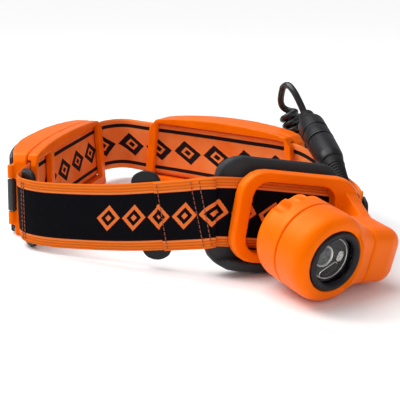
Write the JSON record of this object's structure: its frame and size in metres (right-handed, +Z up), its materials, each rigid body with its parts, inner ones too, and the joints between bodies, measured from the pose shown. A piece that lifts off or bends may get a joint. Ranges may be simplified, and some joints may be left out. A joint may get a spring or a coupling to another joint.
{
  "type": "headlamp",
  "caption": "Headlamp on an elastic headband: tilting round lamp on a one-armed bracket, two curved rear battery pods and a curly cord with an inline connector.",
  "frame": {"origin": "centre of the footprint on the table, cord apart, under the band", "axes": "+Z up, the lamp looks roughly along -Y and to +X, the pods are at +Y and -X"},
  "size_m": [0.202, 0.2522, 0.0759],
  "materials": {
    "orange_plastic": "satin",
    "dark_rubber": "matt",
    "black_cord": "satin",
    "webbing": "woven",
    "clear_lens": "clear",
    "steel": "brushed",
    "circuit_board": "solder mask",
    "led": "phosphor",
    "cell_jacket": "sleeve"
  },
  "bodies": {
    "headband": {"forehead_pad": "dark_rubber", "front_bracket": "orange_plastic", "pivot_bush": "dark_rubber", "friction_washer": "steel", "pod_bridge": "dark_rubber", "front_strap": "webbing", "rear_strap": "webbing", "strap_tail": "webbing", "left_slider": "dark_rubber", "near_slider": "dark_rubber", "right_slider": "dark_rubber", "pod_gland": "black_cord", "curly_cord": "black_cord", "cord_loop": "black_cord", "socket_boot": "black_cord", "connector_socket": "black_cord", "connector_ring": "steel", "connector_plug": "black_cord", "plug_boot": "black_cord", "lamp_lead": "black_cord", "lamp_gland": "black_cord", "pod_a_strap_frame": "orange_plastic", "pod_a_housing": "orange_plastic", "pod_a_hinge_pin": "steel", "pod_a_contact_plate": "steel", "pod_a_spring_plate": "steel", "pod_a_cell_1": "cell_jacket", "pod_a_cell_2": "cell_jacket", "pod_a_cell_3": "cell_jacket", "pod_b_strap_frame": "orange_plastic", "pod_b_housing": "orange_plastic", "pod_b_hinge_pin": "steel", "pod_b_contact_plate": "steel", "pod_b_spring_plate": "steel", "pod_b_cell_1": "cell_jacket", "pod_b_cell_2": "cell_jacket", "pod_b_cell_3": "cell_jacket"},
    "lamp_head": {"head_front_shell": "orange_plastic", "rear_housing": "dark_rubber", "bezel_ring": "dark_rubber", "front_lens": "clear_lens", "lens_seal": "dark_rubber", "optic_holder": "dark_rubber", "spot_optic": "clear_lens", "spot_led": "led", "flood_led": "led", "led_board": "circuit_board", "heat_sink": "steel", "driver_board": "circuit_board", "rotary_switch": "steel", "dial_seal": "dark_rubber", "pivot_shaft": "steel"},
    "mode_dial_body": {"mode_dial": "orange_plastic", "switch_shaft": "steel"},
    "door_a": {"pod_a_door": "dark_rubber"},
    "door_b": {"pod_b_door": "dark_rubber"},
    "latch_a": {"pod_a_latch": "dark_rubber"},
    "latch_b": {"pod_b_latch": "dark_rubber"}
  },
  "joints": [
    {"name": "head_tilt", "type": "hinge", "parent": "headband", "child": "lamp_head", "pos_m": [0.08331, -0.08959, 0.01792], "axis": [0.8128, 0.5566, -0.172], "range_deg": [-12, 70]},
    {"name": "mode_turn", "type": "hinge", "parent": "lamp_head", "child": "mode_dial_body", "pos_m": [0.05149, -0.09123, 0.02508], "axis": [0.5393, -0.8305, -0.1392], "range_deg": [0, 270]},
    {"name": "door_a_swing", "type": "hinge", "parent": "headband", "child": "door_a", "pos_m": [-0.09782, -0.00953, 0.023], "axis": [0.0145, 0.0773, 0.9969], "range_deg": [0, 95]},
    {"name": "latch_a_slide", "type": "slide", "parent": "door_a", "child": "latch_a", "axis": [0.4119, 0.9112, 0], "range_m": [-0.0028, 0], "stiffness_N_per_m": 120, "springref_m": 0.0008},
    {"name": "door_b_swing", "type": "hinge", "parent": "headband", "child": "door_b", "pos_m": [-0.01932, 0.11639, 0.023], "axis": [0.0917, -0.0631, 0.9938], "range_deg": [0, 95]},
    {"name": "latch_b_slide", "type": "slide", "parent": "door_b", "child": "latch_b", "axis": [0.7109, -0.7033, 0], "range_m": [-0.0028, 0], "stiffness_N_per_m": 120, "springref_m": 0.0008}
  ]
}
